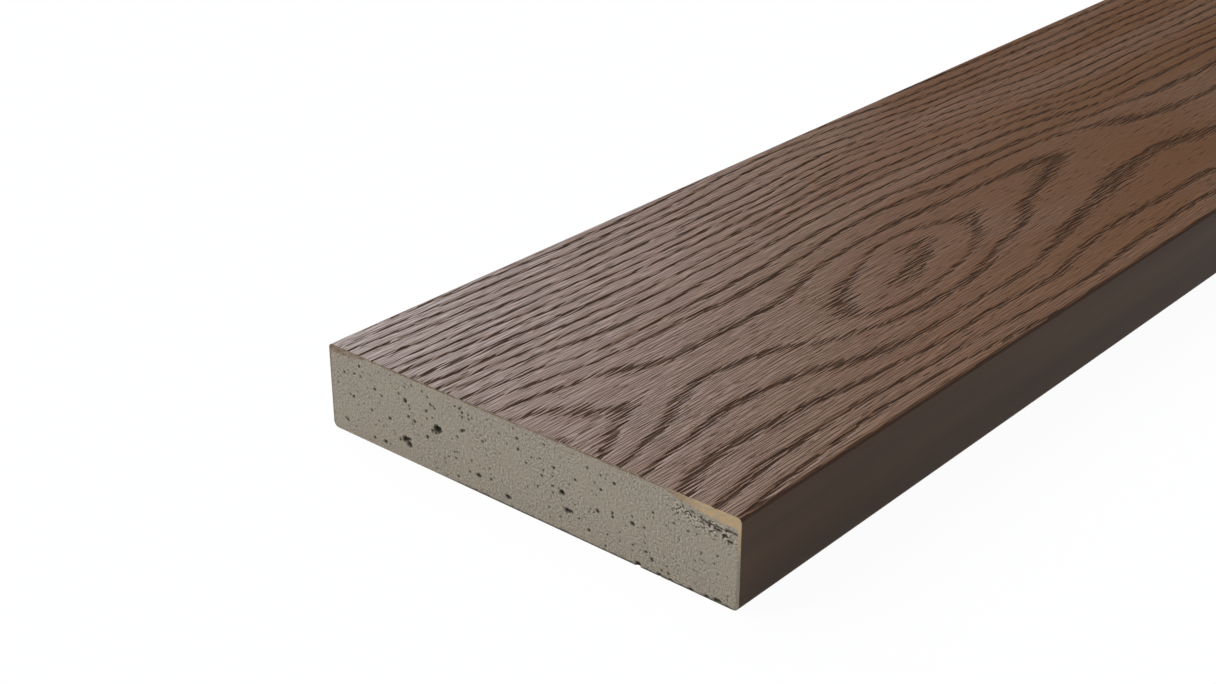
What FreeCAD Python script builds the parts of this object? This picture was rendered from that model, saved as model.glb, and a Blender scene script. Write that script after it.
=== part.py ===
"""Composite decking board: a foamed mineral-resin core cast into a moulded elastomer skin.

The board lies flat, as it does on its joists. X runs along its length, Y across its width and
Z up out of its wear face. The origin is at the centre of its underside. The end at low X is the
saw cut that shows the core, and the long edge at low Y is its front edge.

Millimetres throughout.
"""

import os
from enum import IntEnum

import FreeCAD
import Part
import Sketcher

PARTS_FOLDER = "parts"

# Each driving size, written once: its alias in the sheet, its value and what it is.
SIZES = [
    ("board_length", 3600, "length that the board is sold in"),
    ("board_width", 176, "width over both long edges"),
    ("board_depth", 32, "thickness from underside to wear face"),
    ("top_edge_round", 1.6, "radius along the long edges of the wear face"),
    ("foot_edge_round", 2.2, "radius along the long edges of the underside"),
    ("skin_face", 0.8, "skin over the middle of the wear face"),
    ("skin_front", 1.2, "skin down the front edge"),
    ("skin_back", 0.7, "skin down the back edge"),
    ("front_pool_width", 29, "how far in from the front edge the skin is thickened"),
    ("front_pool_depth", 4.1, "skin at the top corner of the front edge"),
    ("back_pool_width", 18, "how far in from the back edge the skin is thickened"),
    ("back_pool_depth", 2.8, "skin at the top corner of the back edge"),
]

# Edges whose heights differ by less than this, in millimetres, are at the same height.
SAME_HEIGHT = 1e-4


class Point(IntEnum):
    """How a constraint names the two ends of a line or an arc."""

    START = 1
    END = 2


class Axis(IntEnum):
    """How a constraint names the level and the upright axis of a section."""

    LEVEL = -1
    UPRIGHT = -2


START, END = Point
ORIGIN = (Axis.LEVEL, START)


def size_sheet(doc):
    """Puts the driving sizes into a sheet, one row each, and gives each value its alias."""
    sheet = doc.addObject("Spreadsheet::Sheet", "sizes")
    for row, (alias, value, meaning) in enumerate(SIZES, start=1):
        sheet.set(f"A{row}", meaning)
        sheet.set(f"B{row}", str(value))
        sheet.setAlias(f"B{row}", alias)
    doc.recompute()
    return sheet


def origin_plane(body, role):
    """One of the body's own origin planes, such as YZ_Plane."""
    return next(f for f in body.Origin.OriginFeatures if f.Role == role)


def section_sketch(body, name):
    """An empty sketch across the board, in which x is Y and y is Z."""
    sketch = body.newObject("Sketcher::SketchObject", name)
    sketch.AttachmentSupport = (origin_plane(body, "YZ_Plane"), [""])
    sketch.MapMode = "FlatFace"
    return sketch


def line(sketch, start, end):
    """A line of the section; returns its number in the sketch."""
    ends = (FreeCAD.Vector(*point, 0) for point in (start, end))
    return sketch.addGeometry(Part.LineSegment(*ends), False)


def arc(sketch, start, middle, end):
    """An arc of the section through three points; returns its number in the sketch."""
    points = (FreeCAD.Vector(*point, 0) for point in (start, middle, end))
    return sketch.addGeometry(Part.Arc(*points), False)


def relate(sketch, kind, *references):
    """A constraint with no size, such as Coincident, Vertical or Tangent."""
    sketch.addConstraint(Sketcher.Constraint(kind, *references))


def measure(sketch, kind, references, name, expression, value):
    """A constraint whose size is an expression of the sheet's cells."""
    index = sketch.addConstraint(Sketcher.Constraint(kind, *references, value))
    sketch.renameConstraint(index, name)
    sketch.setExpression(f"Constraints.{name}", expression)


def pad_along_length(body, sketch, name):
    """Pads the section to the board's length, half of it each way from the origin."""
    pad = body.newObject("PartDesign::Pad", name)
    pad.Profile = sketch
    pad.Type = "Length"
    pad.SideType = "Symmetric"
    pad.setExpression("Length", "sizes.board_length")
    body.Document.recompute()
    return pad


def long_edges_at(feature, height):
    """The names of the edges that run along the board at this height."""
    found = []
    for number, edge in enumerate(feature.Shape.Edges, start=1):
        box = edge.BoundBox
        runs_along = box.XLength > max(box.YLength, box.ZLength)
        if runs_along and abs(box.Center.z - height) < SAME_HEIGHT:
            found.append(f"Edge{number}")
    return found


def round_long_edges(body, base, height, name, radius_alias):
    """Rounds both long edges at this height."""
    fillet = body.newObject("PartDesign::Fillet", name)
    fillet.Base = (base, long_edges_at(base, height))
    fillet.setExpression("Radius", f"sizes.{radius_alias}")
    body.Document.recompute()
    return fillet


def board_blank(doc, sheet):
    """The whole board as one solid: the inside of its mould."""
    width, depth = sheet.board_width, sheet.board_depth
    body = doc.addObject("PartDesign::Body", "board_blank")
    sketch = section_sketch(body, "mould_section")
    left, right = -width / 2, width / 2
    underside = line(sketch, (left, 0), (right, 0))
    back = line(sketch, (right, 0), (right, depth))
    face = line(sketch, (right, depth), (left, depth))
    front = line(sketch, (left, depth), (left, 0))
    outline = (underside, back, face, front)
    for one, following in zip(outline, outline[1:] + outline[:1]):
        relate(sketch, "Coincident", one, END, following, START)
    for upright in (back, front):
        relate(sketch, "Vertical", upright)
    relate(sketch, "Horizontal", face)
    relate(sketch, "PointOnObject", underside, START, Axis.LEVEL)
    relate(sketch, "Symmetric", underside, START, underside, END, Axis.UPRIGHT)
    ends = (underside, START, underside, END)
    measure(sketch, "DistanceX", ends, "width", "sizes.board_width", width)
    ends = (back, START, back, END)
    measure(sketch, "DistanceY", ends, "depth", "sizes.board_depth", depth)

    pad = pad_along_length(body, sketch, "mould_length")
    rounded = round_long_edges(body, pad, depth, "top_edges", "top_edge_round")
    round_long_edges(body, rounded, 0, "foot_edges", "foot_edge_round")
    return body


def foot_arc(sketch, side, centre_y, centre_z, radius):
    """The quarter round of the core inside the skin's foot. side is 1 for back, -1 for front."""
    low = (centre_y, centre_z - radius)
    slant = radius * 0.5**0.5
    middle = (centre_y + side * slant, centre_z - slant)
    out = (centre_y + side * radius, centre_z)
    return arc(sketch, low, middle, out) if side > 0 else arc(sketch, out, middle, low)


def pool_arc(sketch, corner, crown):
    """The hollow at a top corner of the core, where the skin pooled in its mould.

    It leaves the edge level, at corner, and sweeps up to the wear side at crown: part of a circle
    whose centre stands straight above corner.
    """
    run, rise = crown[0] - corner[0], crown[1] - corner[1]
    radius = (run**2 + rise**2) / (2 * rise)
    half_run = run / 2
    half_rise = radius - (radius**2 - half_run**2) ** 0.5
    return arc(sketch, corner, (corner[0] + half_run, corner[1] + half_rise), crown)


def core_slab(doc, sheet):
    """The foamed core. Its section is the board's, less the skin on its face and long edges."""
    half = sheet.board_width / 2
    depth, foot = sheet.board_depth, sheet.foot_edge_round
    skin = {1: sheet.skin_back, -1: sheet.skin_front}
    pool_width = {1: sheet.back_pool_width, -1: sheet.front_pool_width}
    pool_depth = {1: sheet.back_pool_depth, -1: sheet.front_pool_depth}
    edge_name = {1: "back", -1: "front"}
    face_height = depth - sheet.skin_face

    body = doc.addObject("PartDesign::Body", "core_slab")
    sketch = section_sketch(body, "core_section")
    underside = line(sketch, (foot - half, 0), (half - foot, 0))
    relate(sketch, "PointOnObject", underside, START, Axis.LEVEL)
    relate(sketch, "Symmetric", underside, START, underside, END, Axis.UPRIGHT)
    flat = "sizes.board_width - 2 * sizes.foot_edge_round"
    ends = (underside, START, underside, END)
    measure(sketch, "DistanceX", ends, "underside", flat, 2 * (half - foot))

    crowns = {side: (side * (half - pool_width[side]), face_height) for side in (1, -1)}
    face = line(sketch, crowns[1], crowns[-1])
    relate(sketch, "Horizontal", face)
    height = "sizes.board_depth - sizes.skin_face"
    measure(sketch, "DistanceY", (*ORIGIN, face, START), "face_height", height, face_height)

    for side in (1, -1):
        edge, lining = edge_name[side], skin[side]
        foot_y, side_y = side * (half - foot), side * (half - lining)
        corner = (side_y, depth - pool_depth[side])
        lip = line(sketch, (foot_y, 0), (foot_y, lining))
        turn = foot_arc(sketch, side, foot_y, foot, foot - lining)
        wall = line(sketch, (side_y, foot), corner)
        pool = pool_arc(sketch, corner, crowns[side])
        # An arc's own start and end follow its anticlockwise sense, so they swap on one side.
        turn_low, turn_out = (START, END) if side > 0 else (END, START)
        pool_edge, pool_crown = (END, START) if side > 0 else (START, END)
        underside_end, face_end = (END, START) if side > 0 else (START, END)

        relate(sketch, "Coincident", underside, underside_end, lip, START)
        relate(sketch, "Vertical", lip)
        relate(sketch, "Perpendicular", lip, END, turn, turn_low)
        relate(sketch, "Tangent", turn, turn_out, wall, START)
        relate(sketch, "Vertical", wall)
        relate(sketch, "Perpendicular", wall, END, pool, pool_edge)
        relate(sketch, "Coincident", pool, pool_crown, face, face_end)

        lining_cell = f"sizes.skin_{edge}"
        ends = (lip, START, lip, END)
        measure(sketch, "DistanceY", ends, f"{edge}_lip", lining_cell, lining)
        turn_radius = f"sizes.foot_edge_round - {lining_cell}"
        measure(sketch, "Radius", (turn,), f"{edge}_turn", turn_radius, foot - lining)
        corner_height = f"sizes.board_depth - sizes.{edge}_pool_depth"
        ends = (*ORIGIN, wall, END)
        measure(sketch, "DistanceY", ends, f"{edge}_corner", corner_height, corner[1])
        crown_place = f"sizes.board_width / 2 - sizes.{edge}_pool_width"
        ends = (*ORIGIN, face, face_end) if side > 0 else (face, face_end, *ORIGIN)
        measure(sketch, "DistanceX", ends, f"{edge}_crown", crown_place, abs(crowns[side][0]))

    pad_along_length(body, sketch, "core_length")
    return body


def wear_skin(doc, blank, core):
    """The moulded skin: what is left of the board round its core."""
    skin = doc.addObject("Part::Cut", "wear_skin")
    skin.Base = blank
    skin.Tool = core
    doc.recompute()
    return skin


def check_document(doc, pieces):
    """Stops if anything in the document failed, or a piece isn't one sound solid."""
    for thing in doc.Objects:
        if {"Invalid", "Error"} & set(thing.State):
            raise RuntimeError(f"{thing.Label} failed: {thing.State}")
    for piece in pieces:
        shape = piece.Shape
        if shape.isNull() or not shape.isValid() or len(shape.Solids) != 1:
            raise RuntimeError(f"{piece.Label} is not one sound solid")


def main():
    doc = FreeCAD.newDocument("decking_board")
    sheet = size_sheet(doc)
    blank = board_blank(doc, sheet)
    core = core_slab(doc, sheet)
    skin = wear_skin(doc, blank, core)
    doc.recompute()
    pieces = [core, skin]
    check_document(doc, pieces)

    os.makedirs(PARTS_FOLDER, exist_ok=True)
    for piece in pieces:
        piece.Shape.exportStep(os.path.join(PARTS_FOLDER, f"{piece.Label}.step"))
        box = piece.Shape.BoundBox
        size = f"{box.XLength:.2f} x {box.YLength:.2f} x {box.ZLength:.2f} mm"
        print(f"{piece.Label}: {size}, {piece.Shape.Volume / 1000:.1f} cm3")


main()
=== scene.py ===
# %% [markdown]
# # A composite decking board, dressed
#
# The board is one length of stock: a foamed mineral core, cast into a tough skin that was
# moulded against real oak. Its wear face shows growth rings as bands of fine open pores, its
# long edges are plain, and its sawn end shows the grey foam under a thin line of ochre skin.
#
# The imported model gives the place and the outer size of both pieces. This lesson makes their
# surfaces: the moulded grain as real relief, the bubbles in the saw cut, and the finishes.

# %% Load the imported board
import math

import bpy
import numpy as np
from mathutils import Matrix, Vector


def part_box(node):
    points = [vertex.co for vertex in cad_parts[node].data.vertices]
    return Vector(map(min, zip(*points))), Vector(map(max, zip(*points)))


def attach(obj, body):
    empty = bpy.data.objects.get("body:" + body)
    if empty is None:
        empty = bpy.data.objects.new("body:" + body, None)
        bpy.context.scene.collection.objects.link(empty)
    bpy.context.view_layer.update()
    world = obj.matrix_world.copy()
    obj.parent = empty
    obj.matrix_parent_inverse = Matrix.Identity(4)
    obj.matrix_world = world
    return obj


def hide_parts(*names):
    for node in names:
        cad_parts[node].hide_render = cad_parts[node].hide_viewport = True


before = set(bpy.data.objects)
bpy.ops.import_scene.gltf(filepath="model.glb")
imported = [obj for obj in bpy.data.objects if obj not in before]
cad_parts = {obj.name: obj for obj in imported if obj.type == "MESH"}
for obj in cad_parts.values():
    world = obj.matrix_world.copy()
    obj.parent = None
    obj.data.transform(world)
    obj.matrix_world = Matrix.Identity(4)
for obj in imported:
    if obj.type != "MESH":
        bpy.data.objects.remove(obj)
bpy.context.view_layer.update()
skin_low, skin_high = (np.array(corner) * 1000 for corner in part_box("wear_skin"))
core_low, core_high = (np.array(corner) * 1000 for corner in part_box("core_slab"))
print("nodes", sorted(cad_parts), "board in mm", (skin_high - skin_low).round(2))

# %% [markdown]
# ## Sizes
#
# Everything below is in millimetres until a mesh is made. Along the board, x counts from the
# sawn end. Across it, y counts from the centre line, with the front edge at low y. Lengths that
# the two boxes can give are taken from them. The rest repeat the section's real sizes: its
# rounded edges, and how deep the skin pooled at its top corners while the board was cast.

# %% The board's section in millimetres
LENGTH = skin_high[0] - skin_low[0]
HALF = (skin_high[1] - skin_low[1]) / 2
DEPTH = skin_high[2]
FRONT, BACK = -1, 1
SKIN = {FRONT: core_low[1] + HALF, BACK: HALF - core_high[1]}
SKIN_FACE = DEPTH - core_high[2]
TOP_ROUND, FOOT_ROUND = 1.6, 2.2
POOL_WIDTH = {FRONT: 29.0, BACK: 18.0}
POOL_DEPTH = {FRONT: 4.1, BACK: 2.8}
print(f"skin: front {SKIN[FRONT]:.2f}, back {SKIN[BACK]:.2f}, face {SKIN_FACE:.2f} mm")

# %% [markdown]
# ## Random numbers with a grain
#
# Wood never repeats, yet the script must give the same board each time. So every irregular
# thing reads a lattice of seeded random numbers. Stretching the lattice's cells along the board
# turns soft blobs into streaks, which is what grain is.

# %% A lattice of random heights, read smoothly
def lattice_noise(x, y, cell_x, cell_y, seed):
    """Heights from 0 to 1: random numbers stand on a lattice of cells, and between four of them
    the height is blended with weights 3t^2 - 2t^3, where t is the share of the cell crossed."""
    columns, rows = int(LENGTH / cell_x) + 4, int(2 * HALF / cell_y) + 4
    lattice = np.random.default_rng(seed).random((columns, rows))
    u, v = x / cell_x + 1, (y + HALF) / cell_y + 1
    i = np.clip(u.astype(int), 0, columns - 2)
    j = np.clip(v.astype(int), 0, rows - 2)
    s, t = np.clip(u - i, 0, 1), np.clip(v - j, 0, 1)
    s, t = s * s * (3 - 2 * s), t * t * (3 - 2 * t)
    low = lattice[i, j] * (1 - s) + lattice[i + 1, j] * s
    high = lattice[i, j + 1] * (1 - s) + lattice[i + 1, j + 1] * s
    return low * (1 - t) + high * t


def ramp(value, start, end):
    """0 up to start, 1 from end on, and 3t^2 - 2t^3 between them."""
    t = np.clip((value - start) / (end - start), 0, 1)
    return t * t * (3 - 2 * t)


print("noise at the middle", lattice_noise(np.array([1800.0]), np.array([0.0]), 9, 1, 1).round(3))

# %% [markdown]
# ## The growth rings
#
# A plain-sawn oak board cuts its tree's rings at a slant, so they show as long lines at the
# sides and as ovals and tongues in the middle. A picture of a tree's rings is a map: each place
# on the face has a ring number, and a dark line runs wherever that number is whole, as a contour
# runs on a hill.
#
# Near the sawn end the main lines follow the real board: each ring has a few places along it.
# Further on, the map comes from a straight log whose heart wanders below the face: the ring
# number is the distance to the heart, divided by the ring's width. One thin-plate sheet, the
# shape that a thin springy plate takes over pegs of given heights, then joins them all.

# %% Places along the main rings, near the sawn end
UPPER_RINGS = {
    1: [(0, 3), (11, -1), (18, -9), (23, -15.5), (31, -20.5), (140, -24.5), (150, -20.5), (160, -17)],
    2: [(0, 10), (20, 7), (38, 2.5), (50, -3), (62, -7), (95, -8), (130, -8), (152, -4.5)],
    3: [(0, 18.5), (20, 15), (38, 12), (60, 9), (85, 8), (110, 5.5), (140, 6), (170, 9)],
    4: [(0, 25), (20, 22), (40, 19), (60, 15), (100, 13.5), (140, 13.5), (180, 17.5), (215, 18.5)],
    5: [(0, 31), (30, 28), (55, 25), (75, 21.5), (110, 21.5), (145, 24), (205, 26.5), (240, 26)],
    6: [(0, 36), (35, 32.5), (75, 29.5), (125, 29.5), (190, 31.5), (245, 32), (305, 29), (355, 23.5)],
    7: [(0, 41), (35, 38), (65, 35.5), (125, 34), (180, 36), (245, 38), (290, 35.5), (340, 31.5)],
    8: [(0, 46.5), (35, 43.5), (75, 41.5), (125, 40.5), (195, 42), (245, 44.5), (297, 41), (345, 36)],
    9: [(0, 53), (30, 50.5), (75, 48.5), (125, 47), (175, 47.5), (245, 51.5), (300, 47.5), (355, 41)],
    10: [(0, 57), (45, 54.5), (75, 52.5), (130, 51.5), (190, 52), (245, 56), (300, 52.5), (345, 48)],
    11: [(0, 61), (50, 58.5), (90, 56.7), (130, 55.5), (200, 55.5), (245, 59.3), (300, 56.5)],
    12: [(0, 67), (30, 64.5), (75, 62.5), (130, 61.3), (190, 61.5), (250, 65), (305, 61)],
    13: [(0, 73), (35, 70.7), (80, 68.7), (130, 67.5), (190, 68), (245, 72.5), (310, 66.5)],
    14: [(0, 78), (40, 75.5), (90, 73), (160, 73), (200, 75), (245, 78), (300, 73), (345, 67.5)],
    15: [(0, 82.5), (40, 80.5), (90, 78), (170, 78), (215, 82), (290, 79.5), (345, 73.5)],
}
UPPER_RINGS_AFTER = {
    1: [(175, -11.5), (190, -7.5), (205, -7.5), (220, -11), (229, -14), (234, -18)],
    2: [(175, -0.5), (200, 1), (225, -0.5), (250, -3.5), (275, -5), (300, -8), (318, -11)],
    3: [(200, 11.3), (230, 11), (265, 6.5), (308, 5), (345, 1.5), (365, -5), (395, -17), (432, -21.5)],
    4: [(260, 17), (300, 12), (340, 9), (375, 3.5), (400, 0.5), (425, -3), (460, -5), (500, -4)],
    5: [(287, 23), (337, 19), (375, 12.5), (400, 8), (430, 7.5), (480, 6.5), (540, 5)],
    6: [(385, 18), (430, 14), (470, 14), (520, 12.5), (570, 12)],
    7: [(368, 27.5), (400, 21), (450, 19.5), (500, 20), (560, 18)],
    8: [(395, 28), (430, 26), (475, 27), (530, 24), (590, 23)],
    9: [(400, 34.5), (450, 32.5), (520, 31.5), (590, 30)],
    10: [(400, 41), (450, 39), (520, 38), (590, 37)],
    11: [(355, 52), (400, 46), (450, 45), (520, 43.5), (590, 43)],
    12: [(355, 58), (400, 52.5), (450, 51), (520, 49.5), (590, 49)],
    13: [(365, 62.5), (420, 58), (500, 56), (590, 55)],
    14: [(400, 65), (460, 62), (520, 62), (590, 61)],
    15: [(400, 71.5), (460, 69), (520, 68.5), (590, 68)],
}
LOWER_RINGS = {
    1: [(0, -33), (12, -27), (24, -23), (135, -35), (146, -41), (165, -42.5), (185, -40.5)],
    2: [(0, -41), (20, -36.5), (38, -31), (62, -24), (80, -25.5), (97, -31), (120, -41.5), (145, -48)],
    3: [(0, -51), (20, -47), (40, -44.5), (75, -44.7), (95, -49), (120, -57.5), (160, -61), (200, -61)],
    4: [(0, -66), (18, -60), (50, -58.5), (80, -63.5), (130, -68), (180, -69), (210, -71.5), (235, -67)],
    5: [(0, -79), (20, -75.5), (40, -73.5), (100, -74.5), (140, -77), (200, -81), (250, -79), (305, -78)],
    6: [(20, -84), (60, -82), (95, -80.5), (130, -82.5), (165, -85.5)],
}
LOWER_RINGS_AFTER = {
    1: [(200, -38), (215, -34), (226, -29.5), (233, -24)],
    2: [(170, -49.5), (197, -48), (225, -40), (247, -37), (270, -26), (300, -17)],
    3: [(235, -57.5), (250, -51.5), (285, -47.5), (300, -44), (325, -39), (365, -37), (392, -43)],
    4: [(265, -64.5), (320, -66), (350, -66.5), (400, -70)],
}
# The heart of an oval, the saddle between two ovals and other places between rings.
SPOTS = [(188, -23, 0.15), (170, -27, 0.19), (206, -18, 0.19), (188, -16, 0.20), (188, -30, 0.20),
         (188, -11, 0.45), (190, -36, 0.5), (158, -31, 0.4), (222, -17, 0.4), (150, -27, 0.84),
         (165, -20, 0.8), (145, -34, 0.8), (137, -31, 1.0), (126, -31, 1.2), (136, -20, 1.25),
         (150, -15, 1.22), (248, -19, 1.22), (0, -19, 0.15), (10, -17, 0.45),
         (60, -16, 1.5), (78, -17, 1.62), (100, -21, 1.45), (268, -14, 1.35),
         (290, -13, 1.7), (345, -18, 2.45), (380, -28, 2.5), (420, -33, 2.45)]
RING_TABLES = (UPPER_RINGS, UPPER_RINGS_AFTER, LOWER_RINGS, LOWER_RINGS_AFTER)
near_pegs = [(x, y, ring) for table in RING_TABLES for ring, places in table.items() for x, y in places]
near_pegs += SPOTS
print(len(near_pegs), "pegs near the sawn end")

# %% The wandering log behind the rest of the face
# Along the board: x, then the side and the depth of the log's heart below the face there.
HEART = [(600, -38, 40), (860, -26, 50), (1120, -12, 34), (1400, 0, 52), (1650, 8, 62),
         (1960, -4, 33), (2250, -18, 47), (2520, -22, 29), (2850, -8, 55), (3200, 10, 42),
         (3420, 14, 31), (3600, 8, 37)]
RING_WIDTH = 6.1
FIRST_RING_RADIUS = 26.0
STATION_GAP, PEG_GAP = 130.0, 16.0


def log_rings(x, y):
    """Ring numbers of the log: the root of (side^2 + depth^2), less the first ring's radius, over
    the ring width, where side and depth lead to the heart, blended between its known places."""
    along, side, depth = np.array(HEART, float).T
    across = y - np.interp(x, along, side)
    radius = np.hypot(across, np.interp(x, along, depth))
    return (radius - FIRST_RING_RADIUS) / RING_WIDTH


station_x = np.arange(700, LENGTH + STATION_GAP, STATION_GAP)
station_y = np.arange(-HALF, HALF + 1, PEG_GAP)
far_x, far_y = (grid.ravel() for grid in np.meshgrid(station_x, station_y))
far_pegs = np.column_stack([far_x, far_y, log_rings(far_x, far_y)])
pegs = np.vstack([np.array(near_pegs, float), far_pegs])
print(len(far_pegs), "pegs from the log")

# %% The thin-plate sheet over all pegs
# Grain changes slowly along the board, so lengths along it count for a quarter.
ALONG_SHARE = 0.25
PEG_GIVE = 0.4


def plate_terms(x, y, centres):
    """r^2 ln r from each place to each peg, with x counted at its share."""
    gap_x = ALONG_SHARE * (x[:, None] - centres[None, :, 0])
    gap_y = y[:, None] - centres[None, :, 1]
    square = gap_x**2 + gap_y**2 + 1e-6
    return 0.5 * square * np.log(square)


def fit_plate(pegs):
    """Weights of the thin-plate sheet: the solution of one linear system, in which the sheet may
    miss each peg a little, as PEG_GIVE allows, and has no pull on a flat slope."""
    count = len(pegs)
    flat = np.column_stack([np.ones(count), ALONG_SHARE * pegs[:, 0], pegs[:, 1]])
    system = np.zeros((count + 3, count + 3))
    system[:count, :count] = plate_terms(pegs[:, 0], pegs[:, 1], pegs) + PEG_GIVE * np.eye(count)
    system[:count, count:] = flat
    system[count:, :count] = flat.T
    return np.linalg.solve(system, np.append(pegs[:, 2], [0, 0, 0]))


plate_weights = fit_plate(pegs)


def ring_number(x, y, chunk=8000):
    """The sheet's height at each place, with the small wanderings that real rings have."""
    shape, x, y = x.shape, x.ravel(), y.ravel()
    height = np.empty(len(x))
    for start in range(0, len(x), chunk):
        part = slice(start, start + chunk)
        terms = plate_terms(x[part], y[part], pegs)
        plane = plate_weights[-3] + plate_weights[-2] * ALONG_SHARE * x[part]
        height[part] = terms @ plate_weights[:-3] + plane + plate_weights[-1] * y[part]
    sway = 0.16 * (lattice_noise(x, y, 26, 9, 11) - 0.5) + 0.06 * (lattice_noise(x, y, 9, 4, 12) - 0.5)
    return (height + sway).reshape(shape)


misses = ring_number(pegs[:, 0], pegs[:, 1]) - pegs[:, 2]
print(f"the sheet misses its pegs by {np.abs(misses).mean():.2f} rings on average")

# %% [markdown]
# ## Pores and relief
#
# Oak grows its widest pores first each year, so every ring starts with a crowded band of them
# and thins outwards. Cut lengthwise, a pore is a slit under half a millimetre wide and 5 to 20 mm
# long that follows the trunk, not the ring. Where a ring runs along the board the slits join
# into one ragged line, and where it crosses they stand side by side as hatching.
#
# The skin copies all of that from its mould, so the main part of it is made as relief: first how
# crowded the pores are at each place, then streaky noise cut off at a height that falls with
# crowding. The finest slits, thinner than the mesh can hold, are left to the material.

# %% Crowding, grooves and depth
GROOVE_DEPTH_MM = 0.16
BAND_DEPTH_MM = 0.12
EDGE_FADE_MM = 0.5, 1.7
SMEAR_COLUMNS = 2
SMEAR_GAIN = 1.3


def pore_crowding(x, y, ring):
    """0 to 1: rises fast just inside each whole ring number and fades slowly outside it. Noise
    makes the band wider in some stretches and starves it in others. Where the rings lie wide,
    in the front half, the pores stand further apart."""
    phase = ring - np.round(ring)
    width = 0.60 + 0.55 * lattice_noise(x, y, 60, 14, 21)
    rise = ramp(phase, -0.16 * width, -0.08 * width)
    fall = 1 - ramp(phase, 0.06 * width, 0.31 * width)
    plenty = 0.66 + 0.38 * lattice_noise(x, y, 34, 5, 22) + 0.38 * lattice_noise(x, y, 13, 3, 23)
    return np.clip(rise * fall * plenty, 0, 1) * (1 - 0.22 * ramp(-y, -12, 6))


def smeared(values, reach):
    """Each column averaged with its neighbours up to reach columns away, the nearest counting
    most. It costs reach columns at each end."""
    weights = np.bartlett(2 * reach + 3)[1:-1]
    columns = len(values) - 2 * reach
    parts = [weight * values[i : i + columns] for i, weight in enumerate(weights)]
    return sum(parts) / weights.sum()


def pore_grooves(x, y, crowding):
    """0 to 1: long streaks and short ones, added, and cut where they pass a threshold that sinks
    as the crowding rises."""
    streaks = 0.62 * lattice_noise(x, y, 13, 0.9, 31) + 0.38 * lattice_noise(x, y, 6, 0.7, 32)
    threshold = 0.86 - 0.38 * crowding
    return ramp(streaks, threshold - 0.05, threshold + 0.07)


def grain(x, y):
    """Crowding, grooves and relief in millimetres below the wear face, on the grid of places x
    along and y across. Slits are whole, so where a ring crosses the trunk's direction, its band
    ends raggedly: the crowding is smeared along the board. The relief dies out at the edges."""
    gap = x[1] - x[0], x[-1] - x[-2]
    before = x[0] - gap[0] * np.arange(SMEAR_COLUMNS, 0, -1)
    after = x[-1] + gap[1] * np.arange(1, SMEAR_COLUMNS + 1)
    wide_x, wide_y = np.meshgrid(np.concatenate([before, x, after]), y, indexing="ij")
    sharp = pore_crowding(wide_x, wide_y, ring_number(wide_x, wide_y))
    x, y = np.meshgrid(x, y, indexing="ij")
    inside = ramp(HALF - np.abs(y), *EDGE_FADE_MM)
    crowding = np.clip(SMEAR_GAIN * smeared(sharp, SMEAR_COLUMNS), 0, 1)
    grooves = pore_grooves(x, y, crowding)
    return crowding, grooves, (GROOVE_DEPTH_MM * grooves + BAND_DEPTH_MM * crowding) * inside


sample = grain(np.arange(0, 300, 4.0), np.arange(-80, 80, 0.5))
cover, deepest = (sample[1] > 0.5).mean(), sample[2].max()
print(f"grooves cover {100 * cover:.0f}% of the face, relief down to {deepest:.2f} mm")

# %% [markdown]
# ## The skin's section
#
# The skin is one moulding, an upside-down U with its feet turned in under the core. Its section
# is a closed outline of arcs and straight runs. Carried along the board it gives the piece, and
# only the run across the wear face needs many points.

# %% Arcs, runs and the closed outline
SIDE_RUNS, FOOT_STEPS, ROUND_STEPS, POOL_STEPS = 6, 6, 5, 10
# The grain goes on over this many steps of each top edge's round.
EDGE_STEPS = 2
GRAINED, PLAIN, SAWN = 0, 1, 2


def arc(centre_y, centre_z, radius, start, end, steps):
    """Points of a circle from one angle to another, in degrees anticlockwise from +Y."""
    angle = np.radians(np.linspace(start, end, steps + 1))
    return np.column_stack([centre_y + radius * np.cos(angle), centre_z + radius * np.sin(angle)])


def run(start, end, steps):
    """Points evenly along a straight run, without its two ends."""
    share = np.linspace(0, 1, steps + 1)[1:-1, None]
    return np.array(start) * (1 - share) + np.array(end) * share


def pool_arc(side):
    """The hollow at the core's top corner, from the wall to the crown: part of a circle whose
    centre stands straight above the corner. side is BACK or FRONT."""
    rise = POOL_DEPTH[side] - SKIN_FACE
    across = POOL_WIDTH[side] - SKIN[side]
    radius = (across**2 + rise**2) / (2 * rise)
    sweep = math.degrees(math.asin(across / radius))
    corner_y, corner_z = side * (HALF - SKIN[side]), DEPTH - POOL_DEPTH[side]
    return arc(corner_y, corner_z + radius, radius, -90, -90 - side * sweep, POOL_STEPS)


def outer_outline(face_steps):
    """From the front foot up, across the wear face and down to the back foot."""
    foot_y, top_y, top_z = HALF - FOOT_ROUND, HALF - TOP_ROUND, DEPTH - TOP_ROUND
    return [
        arc(-foot_y, FOOT_ROUND, FOOT_ROUND, 270, 180, FOOT_STEPS),
        run((-HALF, FOOT_ROUND), (-HALF, top_z), SIDE_RUNS),
        arc(-top_y, top_z, TOP_ROUND, 180, 90, ROUND_STEPS),
        run((-top_y, DEPTH), (top_y, DEPTH), face_steps),
        arc(top_y, top_z, TOP_ROUND, 90, 0, ROUND_STEPS),
        run((HALF, top_z), (HALF, FOOT_ROUND), SIDE_RUNS),
        arc(foot_y, FOOT_ROUND, FOOT_ROUND, 0, -90, FOOT_STEPS),
    ]


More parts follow.
